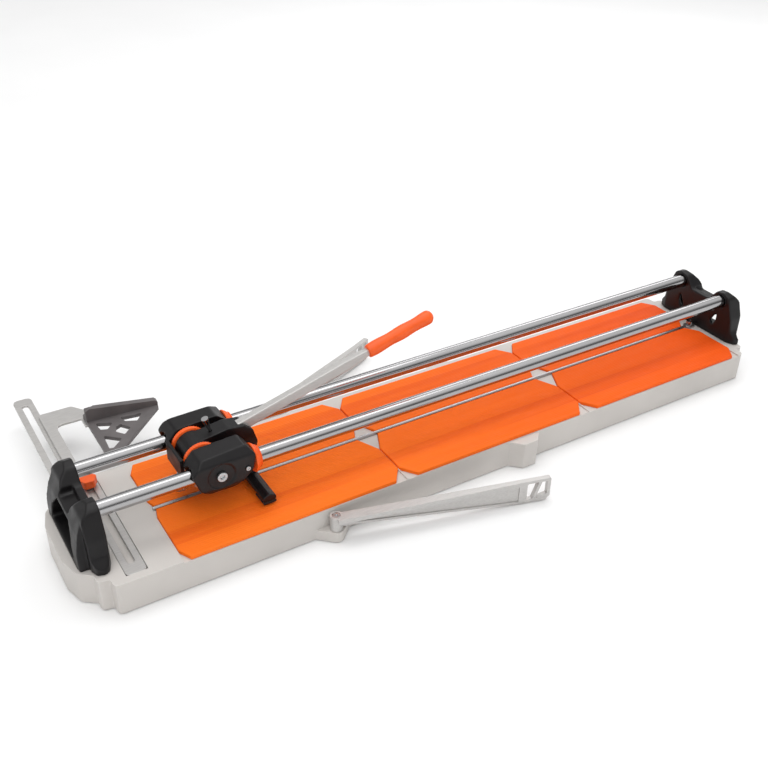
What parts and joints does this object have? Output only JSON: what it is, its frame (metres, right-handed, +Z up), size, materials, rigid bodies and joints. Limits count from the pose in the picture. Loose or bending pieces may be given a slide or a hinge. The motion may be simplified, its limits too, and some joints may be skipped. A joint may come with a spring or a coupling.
{
  "type": "manual tile cutter",
  "caption": "Rail-guided manual tile cutter: cast bench with rubber pads and breaking ridge, sliding lever carriage with scoring wheel and breaker foot, side gauge and swing-out support arms.",
  "frame": {"origin": "on the floor under the breaking ridge, midway between the rail brackets' inner faces", "axes": "+X along the rails towards the far bracket, +Y towards the side the gauge sticks out on, +Z up"},
  "size_m": [1.1051, 0.5267, 0.2182],
  "materials": {
    "cast_grey": "painted light grey casting",
    "light_metal": "satin",
    "chrome": "polished",
    "steel": "satin",
    "black_plastic": "satin",
    "dark_grey_plastic": "satin",
    "orange_plastic": "gloss",
    "orange_rubber": "matt",
    "black_rubber": "matt"
  },
  "bodies": {
    "bench": {"arm_pin_front": "steel", "arm_pin_rear": "steel", "bench_casting": "cast_grey", "bracket_bolt_far_front": "steel", "bracket_bolt_far_rear": "steel", "bracket_bolt_near_front": "steel", "bracket_bolt_near_rear": "steel", "bracket_far": "black_plastic", "bracket_near": "black_plastic", "breaking_ridge": "steel", "foot_1": "black_rubber", "foot_2": "black_rubber", "foot_3": "black_rubber", "foot_4": "black_rubber", "foot_middle": "black_rubber", "gauge_stud": "steel", "pad_front_1": "orange_rubber", "pad_front_2": "orange_rubber", "pad_front_3": "orange_rubber", "pad_rear_1": "orange_rubber", "pad_rear_2": "orange_rubber", "pad_rear_3": "orange_rubber", "rail_front": "chrome", "rail_rear": "chrome", "rail_screw_far_front": "steel", "rail_screw_far_rear": "steel", "rail_screw_near_front": "steel", "rail_screw_near_rear": "steel", "ridge_screw": "chrome"},
    "carriage": {"carriage_housing_front": "black_plastic", "carriage_housing_rear": "black_plastic", "carriage_bridge": "black_plastic", "bushing_front": "steel", "bushing_rear": "steel", "rail_wiper_front": "orange_plastic", "rail_wiper_rear": "orange_plastic", "bushing_screw_front": "steel", "bushing_screw_rear": "steel", "cover_screw": "steel", "lever_axle": "steel"},
    "lever": {"lever_hub": "black_plastic", "hub_ring_front": "orange_plastic", "hub_ring_rear": "orange_plastic", "lever_bar": "light_metal", "lever_grip": "orange_rubber", "lever_clamp_screw": "chrome", "wheel_holder": "steel", "wheel_pin": "steel", "breaker_pin": "steel"},
    "wheel": {"scoring_wheel": "steel"},
    "breaker": {"breaker_foot": "black_plastic", "breaker_pad_front": "black_rubber", "breaker_pad_rear": "black_rubber"},
    "gauge": {"gauge_bar": "light_metal", "gauge_arm": "light_metal", "square_screw": "steel"},
    "square": {"gauge_square": "dark_grey_plastic"},
    "knob": {"gauge_knob": "orange_plastic"},
    "front_arm": {"support_arm_front": "light_metal"},
    "rear_arm": {"support_arm_rear": "light_metal"}
  },
  "joints": [
    {"name": "carriage_slide", "type": "slide", "parent": "bench", "child": "carriage", "axis": [1, 0, 0], "range_m": [-0.103, 0.777]},
    {"name": "lever_pivot", "type": "hinge", "parent": "carriage", "child": "lever", "pos_m": [-0.37, 0, 0.114], "axis": [0, -1, 0], "range_deg": [0, 22]},
    {"name": "wheel_spin", "type": "hinge", "parent": "lever", "child": "wheel", "pos_m": [-0.39406, 0, 0.07006], "axis": [0, 1, 0], "continuous": true},
    {"name": "breaker_pivot", "type": "hinge", "parent": "lever", "child": "breaker", "pos_m": [-0.30395, 0, 0.10222], "axis": [0, 1, 0], "range_deg": [-10, 22]},
    {"name": "gauge_slide", "type": "slide", "parent": "bench", "child": "gauge", "axis": [0, 1, 0], "range_m": [0, 0.155]},
    {"name": "square_swivel", "type": "hinge", "parent": "gauge", "child": "square", "pos_m": [-0.4409, 0.22565, 0.05], "axis": [0, 0, 1], "range_deg": [0, 45]},
    {"name": "knob_turn", "type": "hinge", "parent": "bench", "child": "knob", "pos_m": [-0.4875, 0.086, 0.05], "axis": [0, 0, 1], "range_deg": [0, 90]},
    {"name": "front_arm_swing", "type": "hinge", "parent": "bench", "child": "front_arm", "pos_m": [-0.236, -0.1167, 0.03], "axis": [0, 0, 1], "range_deg": [-74, 8]},
    {"name": "rear_arm_swing", "type": "hinge", "parent": "bench", "child": "rear_arm", "pos_m": [-0.244, 0.1167, 0.03], "axis": [0, 0, 1], "range_deg": [-20, 63]}
  ]
}
